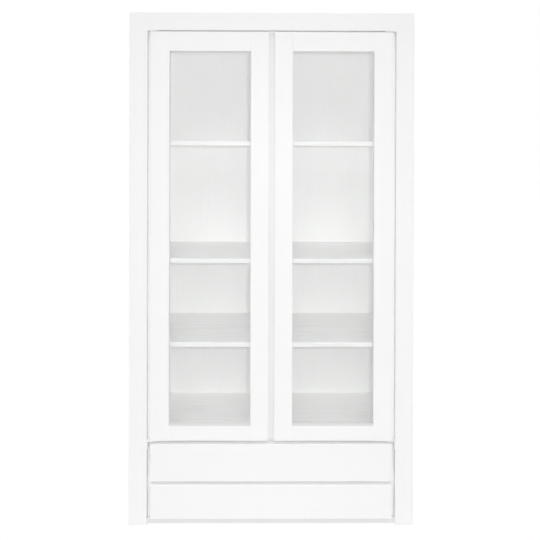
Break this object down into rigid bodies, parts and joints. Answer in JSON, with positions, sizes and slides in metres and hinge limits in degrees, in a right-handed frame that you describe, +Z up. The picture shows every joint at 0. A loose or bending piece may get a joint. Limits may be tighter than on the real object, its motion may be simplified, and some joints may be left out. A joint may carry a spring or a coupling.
{
  "type": "bookcase with glass doors",
  "caption": "Tall bookcase with framed glass doors that swing on pivots before shelves, over wide drawers on telescopic runners, in a mitred front frame.",
  "frame": {"origin": "centre of the footprint, on the floor under the glides", "axes": "+Z up, -Y towards the front with the doors and drawers, +X to the right seen from the front"},
  "size_m": [1.11, 0.43, 2],
  "materials": {
    "frame_lacquer": "brushed pine under satin white lacquer",
    "carcase_lacquer": "brushed pine under satin white lacquer",
    "back_lacquer": "brushed pine under matt white lacquer",
    "shelf_lacquer": "brushed pine under satin white lacquer",
    "door_lacquer": "brushed pine under satin white lacquer",
    "drawer_lacquer": "brushed pine under satin white lacquer",
    "drawer_box_lacquer": "planed pine under matt white lacquer",
    "bare_pine": "planed pine under thin white primer",
    "beech": "bare turned beech",
    "clear_glass": "clear float glass with ground edges",
    "runner_steel": "zinc-plated rolled steel",
    "pivot_steel": "satin nickel-plated steel",
    "zinc_steel": "bright zinc-plated steel",
    "magnet_plastic": "white moulded plastic",
    "glide_plastic": "off-white plastic"
  },
  "bodies": {
    "cabinet": {"left_front_post": "frame_lacquer", "right_front_post": "frame_lacquer", "top_front_rail": "frame_lacquer", "left_outer_side": "carcase_lacquer", "left_inner_side": "carcase_lacquer", "left_rear_post": "bare_pine", "right_outer_side": "carcase_lacquer", "right_inner_side": "carcase_lacquer", "right_rear_post": "bare_pine", "top_board": "carcase_lacquer", "ceiling_board": "carcase_lacquer", "deck_board": "carcase_lacquer", "bottom_board": "carcase_lacquer", "centre_partition": "carcase_lacquer", "top_rear_rail": "bare_pine", "left_back_panel": "back_lacquer", "right_back_panel": "back_lacquer", "back_panel_screws": "zinc_steel", "carcase_dowels": "beech", "floor_glides": "glide_plastic", "left_lower_shelf": "shelf_lacquer", "left_middle_shelf": "shelf_lacquer", "left_upper_shelf": "shelf_lacquer", "right_lower_shelf": "shelf_lacquer", "right_middle_shelf": "shelf_lacquer", "right_upper_shelf": "shelf_lacquer", "shelf_pins": "zinc_steel", "door_pivots": "pivot_steel", "door_magnets": "magnet_plastic", "runner_cabinet_members": "runner_steel"},
    "left_door": {"left_door_hinge_stile": "door_lacquer", "left_door_meeting_stile": "door_lacquer", "left_door_bottom_rail": "door_lacquer", "left_door_top_rail": "door_lacquer", "left_door_glass": "clear_glass", "left_door_beads": "door_lacquer", "left_door_pivot_bushes": "pivot_steel", "left_door_strike_plate": "zinc_steel"},
    "right_door": {"right_door_hinge_stile": "door_lacquer", "right_door_meeting_stile": "door_lacquer", "right_door_bottom_rail": "door_lacquer", "right_door_top_rail": "door_lacquer", "right_door_glass": "clear_glass", "right_door_beads": "door_lacquer", "right_door_pivot_bushes": "pivot_steel", "right_door_strike_plate": "zinc_steel"},
    "lower_drawer": {"lower_drawer_front": "drawer_lacquer", "lower_drawer_left_side": "drawer_box_lacquer", "lower_drawer_right_side": "drawer_box_lacquer", "lower_drawer_back": "drawer_box_lacquer", "lower_drawer_bottom": "drawer_box_lacquer", "lower_drawer_runner_members": "runner_steel"},
    "upper_drawer": {"upper_drawer_front": "drawer_lacquer", "upper_drawer_left_side": "drawer_box_lacquer", "upper_drawer_right_side": "drawer_box_lacquer", "upper_drawer_back": "drawer_box_lacquer", "upper_drawer_bottom": "drawer_box_lacquer", "upper_drawer_runner_members": "runner_steel"},
    "lower_runner_middle": {"lower_runner_middle_members": "runner_steel"},
    "upper_runner_middle": {"upper_runner_middle_members": "runner_steel"}
  },
  "joints": [
    {"name": "left_door_hinge", "type": "hinge", "parent": "cabinet", "child": "left_door", "pos_m": [-0.462, -0.2025, 1.1285], "axis": [0, 0, -1], "range_deg": [0, 110]},
    {"name": "right_door_hinge", "type": "hinge", "parent": "cabinet", "child": "right_door", "pos_m": [0.462, -0.2025, 1.1285], "axis": [0, 0, 1], "range_deg": [0, 110]},
    {"name": "lower_drawer_slide", "type": "slide", "parent": "cabinet", "child": "lower_drawer", "axis": [0, -1, 0], "range_m": [0, 0.35]},
    {"name": "lower_runner_slide", "type": "slide", "parent": "cabinet", "child": "lower_runner_middle", "axis": [0, -1, 0], "range_m": [0, 0.175]},
    {"name": "upper_drawer_slide", "type": "slide", "parent": "cabinet", "child": "upper_drawer", "axis": [0, -1, 0], "range_m": [0, 0.35]},
    {"name": "upper_runner_slide", "type": "slide", "parent": "cabinet", "child": "upper_runner_middle", "axis": [0, -1, 0], "range_m": [0, 0.175]}
  ],
  "couplings": [
    {"joint": "lower_runner_slide", "follows": "lower_drawer_slide", "ratio": 0.5},
    {"joint": "upper_runner_slide", "follows": "upper_drawer_slide", "ratio": 0.5}
  ]
}
